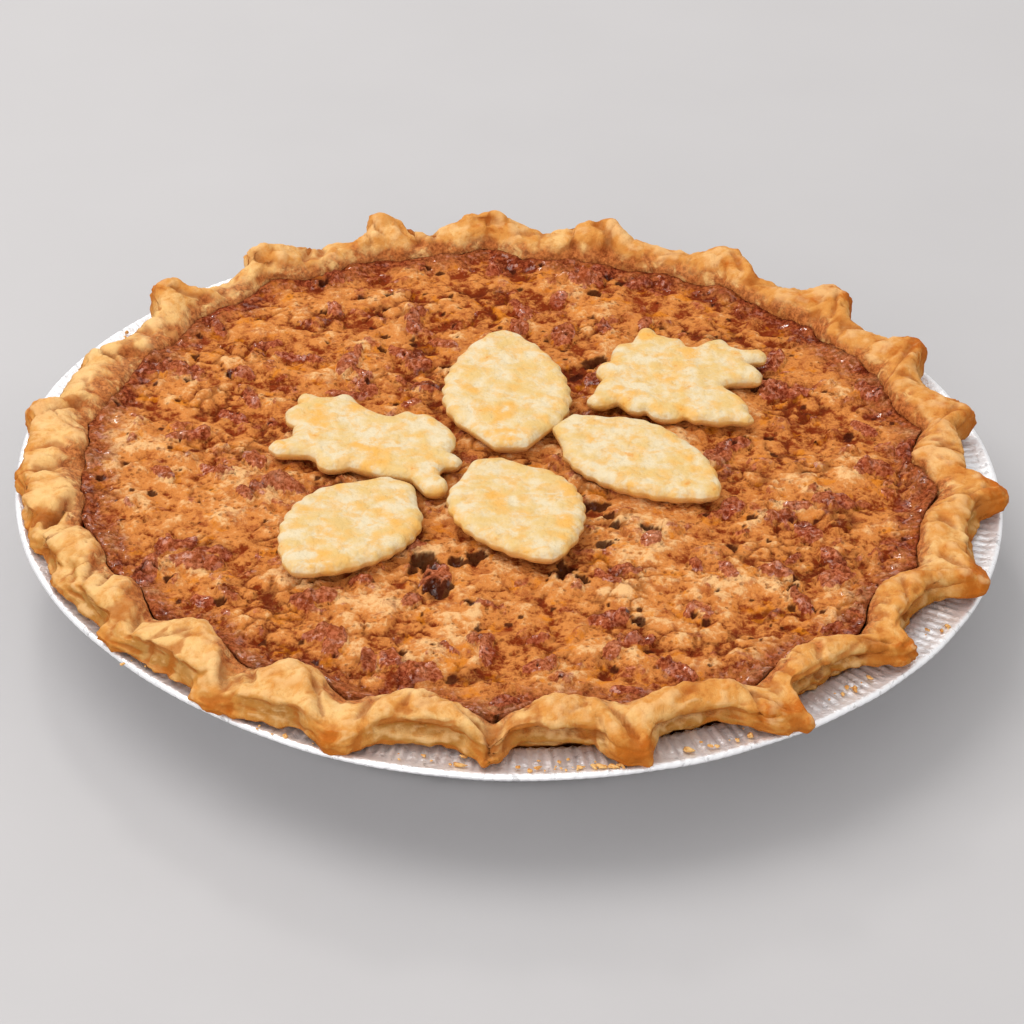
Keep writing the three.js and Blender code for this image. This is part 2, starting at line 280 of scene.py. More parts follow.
def finished(shape, name, material, replaced=None):
    """Turns a shape in millimetres into a piece that rides on the pie."""
    bmesh.ops.scale(shape, vec=(MM, MM, MM), verts=shape.verts)
    mesh = bpy.data.meshes.new(name)
    shape.to_mesh(mesh)
    shape.free()
    mesh.shade_smooth()
    mesh.materials.append(material)
    piece = bpy.data.objects.new(name, mesh)
    bpy.context.scene.collection.objects.link(piece)
    if replaced:
        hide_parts(replaced)
    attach(piece, "root")
    return piece


def turned(rows, columns, place_of):
    """A closed shape turned about the pie's axis, with every point set by its row and its column."""
    shape = bmesh.new()
    bmesh.ops.create_grid(shape, x_segments=columns, y_segments=rows - 1, size=1)
    for corner in shape.verts:
        column = round((corner.co.x + 1) / 2 * columns) % columns
        row = round((corner.co.y + 1) / 2 * (rows - 1))
        corner.co = place_of(row, column)
    bmesh.ops.remove_doubles(shape, verts=shape.verts, dist=0.001)
    bmesh.ops.recalc_face_normals(shape, faces=shape.faces)
    shape.normal_update()
    return shape


def smooth_through(knots, steps):
    """A smooth run of points through the knots of a section."""
    knots = [Vector(knot) for knot in knots]
    padded = [knots[0]] + knots + [knots[-1]]
    run = []
    for before, start, end, after in zip(padded, padded[1:], padded[2:], padded[3:]):
        for step in range(steps):
            share = step / steps
            bend = 2 * before - 5 * start + 4 * end - after
            curl = 3 * start - before - 3 * end + after
            run.append(0.5 * (2 * start + (end - before) * share + bend * share ** 2 + curl * share ** 3))
    return run + [knots[-1]]


def standing(distance):
    """1 near the middle of a tongue, and 0 well beyond its sides."""
    return 1 / (1 + distance ** 3.4)


class Rim:
    """How the crust's rim stands at one bearing."""

    def __init__(self, bearing):
        flute, following, share = self.flutes_at(bearing)
        past = radians((bearing - flute.bearing) % 360) * TONGUE_RADIUS
        ahead = radians((following.bearing - bearing) % 360) * TONGUE_RADIUS
        self.tongue = max(standing(past / flute.after), standing(ahead / following.before))
        self.wave = 1 - abs(sin(pi * share)) ** 1.15
        self.reach = mix(flute.reach, following.reach, share)
        self.tip = mix(flute.tip, following.tip, share)
        self.lift = mix(flute.lift, following.lift, share)
        self.lean = (flute if share < 0.5 else following).lean * self.tongue
        self.gutter = (flute if share < 0.5 else following).gutter
        self.hollow = flute.hollow
        self.skirt = flute.skirt
        self.foot = flute.foot
        uneven = 0.9 * lumps(around(radians(bearing), 112, 0), 5, 17.0)
        self.inner = mix(flute.bulge, mix(flute.throat, following.throat, share), self.wave) + uneven
        self.spread = max(0, (self.skirt - PLAIN_SKIRT) / (WIDE_SKIRT - PLAIN_SKIRT))
        self.bearing = bearing

    @staticmethod
    def flutes_at(bearing):
        for flute, following in zip(FLUTES, FLUTES[1:] + FLUTES[:1]):
            turn = (following.bearing - flute.bearing) % 360
            past = (bearing - flute.bearing) % 360
            if past < turn:
                return flute, following, past / turn

    def between(self, in_hollow, at_pinch):
        return mix(in_hollow, at_pinch, self.tongue)


def tin_wall_radius(height):
    return TIN_FLOOR_RADIUS + (WALL_TOP - TIN_FLOOR_RADIUS) * height / TIN_DEPTH


def rim_knots(rim):
    """The rim's section as (radius, height above the flange), from inside the tin out, over and in again."""
    out = rim.between
    heave = 0.7 * lumps(around(radians(rim.bearing), 120, 0), 14, 31.0)
    overhang = mix(122, rim.skirt + 0.6, rim.spread)
    recess = mix(rim.skirt - 2.4, rim.skirt - 0.8, rim.spread)

    def flared(in_hollow, share_out, share_up):
        """A knot of the inner side: a standing ridge in the hollow, a slope to the tip at the pinch."""
        sloping = (mix(rim.inner, rim.reach, share_out), mix(4.6, rim.tip + 0.9, share_up))
        return [mix(stood, sloped, rim.wave * rim.gutter) for stood, sloped in zip(in_hollow, sloping)]

    crest = rim.hollow + 0.9 + heave
    width = RIDGE_RADIUS + 0.8 * heave
    return [
        (WALL_TOP - 1.4, -0.6),
        (WALL_TOP + 0.1, 0.3),
        (out(rim.skirt - 1.6, rim.reach - 4.5), out(rim.foot, rim.lift - 0.1)),
        (out(rim.skirt, rim.reach - 1.2), out(rim.foot + 0.1, rim.lift)),
        (out(rim.skirt + 1, rim.reach + 0.2), out(rim.foot + 1.2, rim.lift + 1.3)),
        (out(rim.skirt - 0.4, rim.reach), out(rim.foot + 2.6, 0.5 * (rim.lift + rim.tip) + 0.6)),
        (out(recess, rim.reach - 0.9), out(5.6, 0.85 * rim.tip)),
        (out(overhang - 0.8, rim.reach - 2.6), out(rim.hollow - 3, rim.tip + 0.3)),
        (out(overhang, rim.reach - 5), out(rim.hollow - 1.2, rim.tip + 0.9)),
        flared((width, crest), 0.58, 1),
        flared((mix(rim.inner, width, 0.45), crest + 0.2), 0.42, 0.9),
        flared((rim.inner + 1, crest - 1.3), 0.26, 0.7),
        flared((rim.inner + 0.1, crest - 3.2), 0.1, 0.38),
        (rim.inner, 4.2),
        (113.6, 0),
    ]


def crust_section(rim):
    """The whole section of the pastry case, from the middle of its underside to the middle of its floor."""
    hidden_start = [(0, CASE_FLOOR), (TIN_FLOOR_RADIUS - 3, CASE_FLOOR), (tin_wall_radius(2) - 1, 2)]
    inner_corner = tin_wall_radius(CASE_FLOOR) - PASTRY
    hidden_end = [(inner_corner + 2, CASE_FLOOR + PASTRY + 4), (inner_corner - 3, CASE_FLOOR + PASTRY)]
    smooth = smooth_through(rim_knots(rim), STEPS_BETWEEN_KNOTS)
    rim_run = [(point.x, TIN_DEPTH + point.y) for point in smooth]
    return hidden_start + rim_run + hidden_end + [(0, CASE_FLOOR + PASTRY)]


# Creases where the dough was folded or pressed: bearing and radius of both ends, depth and half width.
CREASES = [
    (155, 129, 158, 113, 1.8, 0.9),
    (104.5, 126, 103, 114, 1.6, 0.8),
    (82, 123, 81, 114, 1.4, 0.8),
    (76, 122, 77, 114, 1.1, 0.8),
    (269.3, 132, 269.3, 116, 2.2, 2.4),
    (269.3, 132, 269, 120, 1.6, 0.8),
    (197, 124, 193, 114, 2.6, 1.2),
    (201, 127, 199, 116, 1.5, 0.9),
    (214, 123, 211, 114, 1.6, 0.9),
    (226, 124, 229, 115, 1.5, 0.9),
    (241, 124, 238, 115, 1.6, 0.9),
    (254, 126, 255, 115, 1.5, 0.9),
    (282, 131, 281.5, 120, 1.4, 0.9),
    (299, 133, 300.5, 119, 1.6, 0.9),
    (338, 127, 340, 118, 1.2, 0.8),
    (351, 120, 350, 113, 1.0, 0.7),
    (5, 121, 3, 114, 1.0, 0.8),
    (136, 120, 134, 114, 1.2, 0.8),
    (118, 124, 121, 115, 1.6, 0.9),
    (184, 126, 186, 117, 1.2, 0.8),
    (172, 124, 176, 116, 1.2, 0.8),
]


def small_cracks():
    """Short cracks all round the rim, most of them across the crest."""
    chance = random.Random(41)
    cracks = []
    for _ in range(SMALL_CRACKS):
        bearing = chance.uniform(0, 360)
        radius = chance.uniform(112, 124)
        turn = chance.choice([0, 0, 1]) * chance.uniform(-3, 3) + chance.uniform(-0.8, 0.8)
        length = chance.uniform(2.5, 7)
        cracks.append((bearing, radius, bearing + turn, radius + length, chance.uniform(0.3, 0.8), 0.6))
    return cracks


def folds():
    """Where each pinch was rolled over: a long ridge up on to the crest, with a fold pressed in on its far
    side.
    """
    chance = random.Random(6)
    rolls = []
    for flute in FLUTES:
        start = flute.bearing + chance.uniform(-1.5, 0.5)
        end = start - chance.uniform(2, 5)
        inner = flute.throat + chance.uniform(0, 2)
        rolls.append((start, flute.reach - 3, end, inner, -chance.uniform(0.8, 1.5), 1.8))
        rolls.append((start + 1.6, flute.reach - 4, end + 1.8, inner + 1, chance.uniform(0.9, 1.8), 0.9))
        across = flute.bearing + chance.uniform(5, 9)
        rolls.append((across, 121.5, across + chance.uniform(2, 5), 115, chance.uniform(0.5, 1.1), 1.1))
    return rolls


def from_above(corners):
    """Finds the nearest of some points as seen from above."""
    tree = KDTree(len(corners))
    for index, corner in enumerate(corners):
        tree.insert((corner.co.x, corner.co.y, 0), index)
    tree.balance()
    return tree


def pressed(shape, creases, crease_shade_of):
    """Presses straight creases into a shape, each across the bearings and radii it is given with."""
    corners = list(shape.verts)
    tree = from_above(corners)
    for first_bearing, first_radius, last_bearing, last_radius, depth, half_width in creases:
        start = around(radians(first_bearing), first_radius, 0)
        end = around(radians(last_bearing), last_radius, 0)
        run = end - start
        for _, index, _ in tree.find_range((start + end) / 2, run.length / 2 + 3 * half_width):
            corner = corners[index]
            if corner.co.z < TIN_DEPTH + 3:
                continue
            flat = Vector((corner.co.x, corner.co.y, 0))
            wander = 1.6 * lumps(flat, 6, 3.0 + first_bearing)
            along = min(1, max(0, (flat - start).dot(run) / run.length_squared))
            off = (flat - start - run * along).length + wander * 0.6
            share = exp(-(off / half_width) ** 2) * min(1, 4 * along + 0.3, 4.3 - 4 * along)
            corner.co -= corner.normal * depth * share
            # Each crease is also marked for painted shade in it.
            corner[crease_shade_of] = min(1, corner[crease_shade_of] + share * min(1, max(0, depth)))


def roughen_dough(shape, outward, raised_and_lit, crease_shade):
    """Works the lumps, flakes and grain of baked dough into a shape, least of all beside the filling."""
    for corner in shape.verts:
        place = corner.co.copy()
        if place.z < TIN_DEPTH - 1:
            continue
        outer = eased(0.2, 0.9, outward(corner))
        beside_filling = eased(0.1, -0.5, outward(corner)) * eased(TIN_DEPTH + 8, TIN_DEPTH + 6, place.z)
        flaky = Vector((place.x, place.y, 4 * place.z))
        lumpy = 0.7 * lumps(place, 9, 1.0) + 0.6 * lumps(place, 4.5, 2.0)
        fine = 0.3 * lumps(place, 2.2, 5.0) + 0.24 * lumps(place, 1.3, 6.0)
        fine += (0.3 + 0.5 * outer) * (0.4 - 1.6 * abs(lumps(flaky, 6, 4.0)))
        drawn = Vector((place.x, place.y, 0)).normalized() * 120
        drawn.z = 0.3 * (hypot(place.x, place.y) + place.z)
        wrinkle = exp(-(lumps(drawn, 7, 9.0) / 0.15) ** 2) * eased(-0.3, 0.2, lumps(place, 12, 10.0))
        fine -= WRINKLE_DEPTH * wrinkle
        # Wrinkles are marked for painted shade too.
        corner[crease_shade] = 0.5 * wrinkle
        corner.co = place + corner.normal * (lumpy + fine) * (1 - 0.85 * beside_filling)
        # Painted light and shade: raised and upward-facing places are marked to be painted lighter, low and
        # downward-facing ones darker.
        corner[raised_and_lit] = eased(-0.8, 0.8, 0.5 * lumpy + fine + 0.5 * corner.normal.z - 0.25)


def crust(material):
    columns = [Rim(360 * column / CRUST_COLUMNS) for column in range(CRUST_COLUMNS)]
    sections = [crust_section(rim) for rim in columns]

    def place_of(row, column):
        rim = columns[column]
        radius, height = sections[column][row]
        bearing = 2 * pi * column / CRUST_COLUMNS
        lean = radians(rim.lean) * max(0, (radius - 118) / 12)
        wobble = 0.9 * lumps(around(bearing, 120, height), 11, 7.0) * eased(116, 121, radius)
        ragged = 0.7 * lumps(around(bearing, 120, height), 2.4, 8.0) * eased(119, 121, radius)
        low = eased(TIN_DEPTH + 5, TIN_DEPTH + 1, height)
        return around(bearing + lean, radius + wobble + ragged * low, height)

    shape = turned(len(sections[0]), CRUST_COLUMNS, place_of)
    baked = shape.verts.layers.float.new("baked")
    raw_and_shaded = shape.verts.layers.float.new("raw_and_shaded")
    crease_shade = shape.verts.layers.float.new("crease_shade")
    raised_and_lit = shape.verts.layers.float.new("raised_and_lit")
    stained = shape.verts.layers.float.new("stained")

    def outward(corner):
        return corner.normal.dot(Vector((corner.co.x, corner.co.y, 0)).normalized())

    roughen_dough(shape, outward, raised_and_lit, crease_shade)
    shape.normal_update()
    pressed(shape, CREASES + folds() + small_cracks(), crease_shade)
    shape.normal_update()
    for corner in shape.verts:
        radius = hypot(corner.co.x, corner.co.y)
        height = corner.co.z - TIN_DEPTH
        out_on_tip = eased(123, 131, radius)
        patch = 0.5 + 0.5 * lumps(corner.co, 9, 11.0)
        # The crust is made darker towards the right and lighter towards the left.
        darker_side = 0.25 * eased(-90, 120, corner.co.x) - 0.1
        corner[baked] = 0.6 * out_on_tip + 0.4 * patch + 0.25 * eased(8, 11, height) + darker_side
        # Outward faces low on the rim: partly less-baked dough, partly painted shade on faces turned from
        # the light.
        corner[raw_and_shaded] = eased(0.2, 0.9, outward(corner)) * (1 - 0.7 * out_on_tip) * eased(10, 6, height)
        splashed = height - 2.6 * lumps(corner.co, 6, 13.0) - 1.6 * lumps(corner.co, 2, 14.0)
        corner[stained] = eased(10, 7, splashed) * eased(0.4, 0, outward(corner)) * eased(120, 117, radius)
    return finished(shape, "baked_crust", material, "crust")


def pecan_scatter(seed, count, lengths, heights, nearest=0):
    """Pecan pieces strewn beyond a nearest radius: place, length, width, height and bearing of each."""
    chance = random.Random(seed)
    pieces = []
    while len(pieces) < count:
        x = chance.uniform(-PECANS_WITHIN, PECANS_WITHIN)
        y = chance.uniform(-PECANS_WITHIN, PECANS_WITHIN)
        length = chance.uniform(*lengths)
        if nearest * chance.random() < hypot(x, y) < PECANS_WITHIN - 0.4 * length:
            width = length * chance.uniform(0.35, 0.7)
            pieces.append((x, y, length, width, chance.uniform(*heights), chance.uniform(0, pi)))
    return pieces


# The pecan pieces that stand out most in the top: place, length, width, height and bearing of each.
BOLD_PECANS = [
    (-44, 48, 16, 5.5, 2.6, 1.25),
    (-25, 49, 9, 7, 2.2, 0.3),
    (15, 66, 11, 7, 2.0, 1.2),
    (-43, 32, 14, 4, 1.8, 0.0),
    (-17, -57, 14, 8, 2.4, 1.4),
    (3, 81, 15, 5, 2.0, 2.0),
    (-27, 70, 13, 5, 1.6, 1.5),
    (38, 75, 9, 4, 1.6, 1.2),
]

# The larger burst bubbles in the top: place, width and depth of each.
BUBBLES = [
    (-29.5, 28.5, 3.6, 4),
    (-36.5, 75.5, 3.4, 4),
    (24, 53, 6, 4.5),
    (19, 47, 3.6, 4),
    (-3, 65, 2.8, 3),
    (23, 77.5, 2.2, 3),
    (44, 77, 2.6, 3),
    (49, 71, 2, 2.5),
    (27, -25, 3, 3.5),
    (24, -21, 3.4, 3.5),
    (19, -17, 2.6, 3),
    (-20, -49.5, 8, 4.5),
    (-12, -47, 4.5, 3),
    (-7, -45.5, 5, 3),
    (-17, -61, 6, 4),
    (15, -51, 7, 4.5),
    (20, -55, 4, 3),
    (-17, 48, 3.4, 2.5),
    (-30, 12, 4, 3.5),
    (-58, 6, 4, 3.5),
]


def filling_edge(bearing):
    """How far the filling reaches at a bearing in degrees."""
    return Rim(bearing % 360).inner - FILLING_GAP


class Top:
    """The filling's top while it is worked, with the points of its surface found by place."""

    def __init__(self):
        cells = ceil(2 * FILLING_RADIUS / FILLING_CELL)
        edges = [filling_edge(step / STEPS_PER_DEGREE) for step in range(360 * STEPS_PER_DEGREE)]
        self.shape = bmesh.new()
        bmesh.ops.create_grid(self.shape, x_segments=cells, y_segments=cells, size=FILLING_RADIUS)
        self.room = self.shape.verts.layers.float.new("room")
        self.nut = self.shape.verts.layers.float.new("nut")
        self.hollow = self.shape.verts.layers.float.new("hollow")
        self.raised_and_lit = self.shape.verts.layers.float.new("raised_and_lit")
        self.browning_and_shade = self.shape.verts.layers.float.new("browning_and_shade")
        for corner in self.shape.verts:
            step = round(STEPS_PER_DEGREE * degrees(atan2(corner.co.y, corner.co.x))) % len(edges)
            corner[self.room] = edges[step] - corner.co.length
        outside = [corner for corner in self.shape.verts if corner[self.room] < 0]
        bmesh.ops.delete(self.shape, geom=outside, context="VERTS")
        for corner in self.shape.verts:
            if corner.is_boundary:
                corner.co *= 1 + corner[self.room] / corner.co.length
                corner[self.room] = 0
        self.corners = list(self.shape.verts)
        self.tree = KDTree(len(self.corners))
        for index, corner in enumerate(self.corners):
            self.tree.insert(corner.co, index)
        self.tree.balance()

    def near(self, x, y, reach):
        """The points within reach of a place, each with its steps across and along from there."""
        for spot, index, _ in self.tree.find_range((x, y, 0), reach):
            yield self.corners[index], spot.x - x, spot.y - y


def filling_climb(x, y, room):
    """How high the batter has run up the crust near its edge, unevenly all round."""
    flat = Vector((x, y, 0))
    run_up = 0.9 + 1.4 * lumps(flat, 17, 21.0) + 1.0 * lumps(flat, 6, 22.0)
    return max(0, run_up) * eased(5, 0.5, room)


def filling_dome(x, y):
    share = min(1, hypot(x, y) / FILLING_RADIUS)
    return TIN_DEPTH + FILLING_EDGE_HEIGHT + FILLING_RISE * (1 - share ** 3)


def bake_batter(top):
    """The batter's own relief: broad heaves, grains and crumbs, and gaps between them."""
    for corner in top.corners:
        flat = Vector((corner.co.x, corner.co.y, 0))
        inside = 1 - 0.35 * eased(5, 0.5, corner[top.room])
        warped = flat + 1.6 * noise.noise_vector(flat / 5)
        nearest, second = noise.voronoi(warped / 6.5)[0][:2]
        crevice = exp(-((second - nearest) / 0.15) ** 2) * eased(-0.15, 0.4, lumps(flat, 12, 8.0))
        pit = exp(-(noise.voronoi((flat + 0.9 * noise.noise_vector(flat / 2)) / 2.6)[0][0] / 0.34) ** 2)
        spongy = eased(-0.3, 0.3, lumps(flat, 10, 12.0))
        broad = 1.0 * lumps(flat, 22, 1.0) + 1.5 * lumps(flat, 9, 2.0)
        fine = 0.6 * lumps(flat, 4.2, 3.0) + 0.35 * lumps(flat, 2.3, 4.0) + 0.22 * lumps(flat, 1.5, 5.0)
        fine -= 0.8 * pit * (0.15 + 0.85 * spongy) + 0.7 * crevice
        level = filling_dome(flat.x, flat.y) + filling_climb(flat.x, flat.y, corner[top.room])
        corner.co.z = level + (broad + fine) * inside
        # Crevices and pits are marked for painted shade.
        corner[top.hollow] = max(0.5 * crevice, 0.35 * pit * spongy)
        # Raised batter is marked lighter and low batter darker: partly its paler skin, partly painted light
        # and shade.
        corner[top.raised_and_lit] = eased(-1.3, 1.1, 0.5 * broad + fine)
        # Painted shade: the filling is marked to be darker towards the back.
        corner[top.browning_and_shade] = eased(-10, 95, corner.co.y)


def press_in_pecans(top, pieces, bare):
    """Raises the pecan pieces in the top. Bare is how much of them the batter leaves uncovered."""
    for x, y, length, width, height, bearing in pieces:
        for corner, across, along in top.near(x, y, 0.62 * length):
            u = (across * cos(bearing) + along * sin(bearing)) / (length / 2)
            v = (along * cos(bearing) - across * sin(bearing)) / (width / 2)
            inside = 1 - u * u - v * v - 0.35 * lumps(corner.co, 3, 14.0)
            if inside > 0:
                ribs = 1 + 0.2 * cos(7 * v + 3 * u) - 0.3 * exp(-(v / 0.14) ** 2)
                corner.co.z += min(1, corner[top.room] / 1.5) * (height * sqrt(min(1, inside)) * ribs - 0.2)
                corner[top.nut] = max(corner[top.nut], bare * eased(0, 0.3, inside))
            elif inside > -0.4:
                corner.co.z -= 0.35 * height * (1 + inside / 0.4) * min(1, corner[top.room] / 4)
                # The dip round each pecan is marked for painted shade.
                corner[top.hollow] = max(corner[top.hollow], 0.35 * (1 + inside / 0.4))


def burst_bubbles(top, bubbles):
    for x, y, width, depth in bubbles:
        for corner, across, along in top.near(x, y, 0.75 * width):
            ragged = 1 + 0.7 * lumps(corner.co, 2.8, 9.0)
            inside = 1 - (hypot(across, along) / (0.5 * width * ragged)) ** 2
            if inside > 0:
                smooth = filling_dome(corner.co.x, corner.co.y)
                corner.co.z = mix(corner.co.z, smooth, inside) - min(depth, 0.55 * width) * inside
            if inside > -0.3:
                # Bubbles and their rims are marked for painted shade.
                corner[top.hollow] = max(corner[top.hollow], eased(-0.3, 0.25, inside))


def small_bubbles():
    chance = random.Random(23)
    reach = BUBBLES_WITHIN + 1
    bubbles = []
    while len(bubbles) < SMALL_BUBBLES:
        x = chance.uniform(-reach, reach)
        y = chance.uniform(-reach, reach)
        if hypot(x, y) < BUBBLES_WITHIN:
            width = 1.2 + 2.4 * chance.random() ** 4
            bubbles.append((x, y, width, 0.8 * width))
    return bubbles


def leaf_surfaces():
    """The plain leaves as one surface in millimetres, to keep the filling clear of them."""
    corners = []
    faces = []
    for name in LEAVES:
        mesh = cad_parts[name].data
        first = len(corners)
        corners += [corner.co / MM for corner in mesh.vertices]
        faces += [[first + index for index in face.vertices] for face in mesh.polygons]
    return BVHTree.FromPolygons(corners, faces)


def settle_under_leaves(top):
    surfaces = leaf_surfaces()
    for corner in top.corners:
        ground = Vector((corner.co.x, corner.co.y, TIN_DEPTH))
        underside = surfaces.ray_cast(ground, Vector((0, 0, 1)))[0]
        if underside:
            corner.co.z = min(corner.co.z, underside.z - LEAF_CLEARANCE)


def close_below(top):
    """Gives the top its side and its flat underside."""
    shape = top.shape
    rim = [edge for edge in shape.edges if edge.is_boundary]
    for inset, height in [(2.5, TIN_DEPTH - 2), (16, 7)]:
        made = bmesh.ops.extrude_edge_only(shape, edges=rim)["geom"]
        rim = [part for part in made if isinstance(part, bmesh.types.BMEdge) and part.is_boundary]
        for corner in {corner for edge in rim for corner in edge.verts}:
            flat = Vector((corner.co.x, corner.co.y, 0))
            corner.co = flat.normalized() * (flat.length - inset) + Vector((0, 0, height))
    bmesh.ops.edgeloop_fill(shape, edges=rim)
    bmesh.ops.recalc_face_normals(shape, faces=shape.faces)


def filling(material):
    top = Top()
    bake_batter(top)
    covered = pecan_scatter(seed=11, count=COVERED_PECANS, lengths=(3.5, 9), heights=(0.6, 1.6))
    uncovered = pecan_scatter(seed=12, count=BARE_PECANS, lengths=(7, 13), heights=(1.3, 2.4), nearest=60)
    press_in_pecans(top, covered, bare=0.6)
    press_in_pecans(top, uncovered + BOLD_PECANS, bare=1)
    burst_bubbles(top, BUBBLES + small_bubbles())
    settle_under_leaves(top)
    close_below(top)
    return finished(top.shape, "pecan_filling", material, "filling")


def remeshed(source, cell):
    """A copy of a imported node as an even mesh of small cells, in millimetres."""
    merged = bmesh.new()
    merged.from_mesh(source.data)
    bmesh.ops.remove_doubles(merged, verts=merged.verts, dist=1e-6)
    mesh = bpy.data.meshes.new("uncut")
    merged.to_mesh(mesh)
    merged.free()
    piece = bpy.data.objects.new("uncut", mesh)
    bpy.context.scene.collection.objects.link(piece)
    even = piece.modifiers.new("even", "REMESH")
    even.mode = "VOXEL"
    even.voxel_size = cell * MM
    evaluated = piece.evaluated_get(bpy.context.evaluated_depsgraph_get())
    shape = bmesh.new()
    shape.from_mesh(evaluated.to_mesh())
    evaluated.to_mesh_clear()
    bpy.data.objects.remove(piece)
    bpy.data.meshes.remove(mesh)
    bmesh.ops.scale(shape, vec=(1 / MM, 1 / MM, 1 / MM), verts=shape.verts)
    return shape


def round_edge(shape):
    """Thins a leaf towards its outline, above and below, so that its edge is round."""
    shape.normal_update()
    tops = [corner for corner in shape.verts if corner.normal.z > 0.7]
    undersides = [corner for corner in shape.verts if corner.normal.z < -0.7]
    sides = [corner for corner in shape.verts if abs(corner.normal.z) < 0.5]
    above, below, beside = from_above(tops), from_above(undersides), from_above(sides)
    heights = []
    for corner in shape.verts:
        flat = Vector((corner.co.x, corner.co.y, 0))
        middle = (tops[above.find(flat)[1]].co.z + undersides[below.find(flat)[1]].co.z) / 2
        inset = min(1, beside.find(flat)[2] / LEAF_ROUNDING)
        fullness = mix(LEAF_EDGE_SHARE, 1, sqrt(1 - (1 - inset) ** 2))
        heights.append(middle + (corner.co.z - middle) * fullness)
    for corner, height in zip(shape.verts, heights):
        corner.co.z = height


def leaf(name, material):
    """A leaf cut from rolled pastry, softened and blistered by baking."""
    shape = remeshed(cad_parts[name], LEAF_CELL)
    round_edge(shape)
    for _ in range(LEAF_SMOOTHING):
        bmesh.ops.smooth_vert(shape, verts=shape.verts, factor=0.5, use_axis_x=True, use_axis_y=True,
                              use_axis_z=True)
    shape.normal_update()
    for corner in shape.verts:
        corner.co += LEAF_SPREAD * Vector((corner.normal.x, corner.normal.y, 0))
    shape.normal_update()
    golden = shape.verts.layers.float.new("golden")
    edge = shape.verts.layers.float.new("edge")
    for corner in shape.verts:
        place = corner.co.copy()
        facing_up = eased(0.2, 0.9, corner.normal.z)
        relief = 0.4 * lumps(place, 9, 1.0) + 0.3 * lumps(place, 4, 2.0) + 0.14 * lumps(place, 1.8, 3.0)
        corner.co = place + corner.normal * relief * (0.4 + 0.6 * facing_up)
        corner[golden] = eased(0.1, 0.6, lumps(place, 8, 5.0) + 0.4 * lumps(place, 3, 6.0))
        # Side walls are marked: partly their deeper browning, partly painted shade on faces turned from the
        # light.
        corner[edge] = eased(0.75, 0.1, corner.normal.z)
    return finished(shape, "pastry_" + name, material, name)


def foil_section():
    """Both sides of the foil as (radius, height, share of the pleats), from the middle of the underside."""
    sheet = [(0, 0, 0), (60, 0, 0), (88, 0, 0), (TIN_FLOOR_RADIUS - 1.5, 0, 0)]
    for step in range(12):
        height = 1.2 + (TIN_DEPTH - 1.8) * step / 11
        sheet.append((tin_wall_radius(height) + 0.5, height, eased(0, 6, height)))
    bend = [(WALL_TOP + 1.2, FLANGE_HEIGHT, 1), (WALL_TOP + 3, FLANGE_HEIGHT, 1)]
    flange = [(WALL_TOP + 5, FLANGE_HEIGHT, 1), (WALL_TOP + 7, FLANGE_HEIGHT, 0.9)]
    lip = [(RIM_RADIUS - 4.5, TIN_DEPTH - 0.4, 0.7), (RIM_RADIUS - 3, TIN_DEPTH - 0.3, 0.2)]
    sheet += bend + flange + lip
    bead = []
    for step in range(9):
        turn = radians(110 - 260 * step / 8)
        out = RIM_RADIUS - BEAD_RADIUS + BEAD_RADIUS * cos(turn)
        bead.append((out, TIN_DEPTH - 0.3 + 0.9 * sin(turn), 0.15))
    inner = [(radius - 0.15, height + FOIL, pleat) for radius, height, pleat in reversed(sheet)]
    return sheet + list(reversed(bead)) + inner


def rim_bend(bearing):
    """How far the rim of the tin is bent in at a bearing: most of all at the front left."""
    broad = 2.2 * eased(160, 185, bearing) * eased(262, 236, bearing)
    return broad + 1.1 * exp(-((bearing - 222) / 16) ** 2)


def foil_tin(material):
    section = foil_section()
    columns = PLEATS * COLUMNS_PER_PLEAT
    chance = random.Random(5)
    depths = [PLEAT_DEPTH * chance.uniform(0.5, 1) for _ in range(PLEATS)]
    shifts = [chance.uniform(-0.3, 0.3) for _ in range(PLEATS)]

    def place_of(row, column):
        radius, height, share = section[row]
        pleat = column // COLUMNS_PER_PLEAT
        turn = 2 * pi * (column + shifts[pleat]) / columns
        wave = [-1, 0, 1, 0][column % COLUMNS_PER_PLEAT] * depths[pleat] * share
        dent = 0.4 * lumps(around(turn, radius, height), 16, 2.0) * eased(100, 125, radius)
        bent = rim_bend(degrees(turn)) * eased(WALL_TOP + 3, RIM_RADIUS - 2, radius)
        if radius > WALL_TOP + 0.5:
            return around(turn, radius - bent, height + wave + dent)
        return around(turn, radius + wave, height)

    shape = turned(len(section), columns, place_of)
    painted_reflection = shape.verts.layers.float.new("painted_reflection")
    # Painted reflection: each column of foil gets its own brightness, and the bead the brightest.
    reflection_tones = [chance.random() for _ in range(columns)]
    for corner in shape.verts:
        column = round(degrees(atan2(corner.co.y, corner.co.x)) % 360 / 360 * columns) % columns
        on_bead = eased(RIM_RADIUS - 4.5, RIM_RADIUS - 3, hypot(corner.co.x, corner.co.y))
        corner[painted_reflection] = max(reflection_tones[column], on_bead)
    return finished(shape, "pleated_foil_tin", material, "foil_tin")


# Heaps of crumbs on the flange: bearing and radius of the middle, spread in degrees, and number of crumbs.
CRUMB_HEAPS = [
    (277, 129, 2.5, 22),
    (283, 130.5, 2, 12),
    (262, 128, 3, 8),
    (295, 127, 3, 10),
    (312, 127, 4, 10),
    (245, 129, 3, 7),
    (330, 129, 3, 7),
    (228, 127.5, 3, 6),
    (20, 128, 4, 5),
    (150, 127, 5, 8),
]


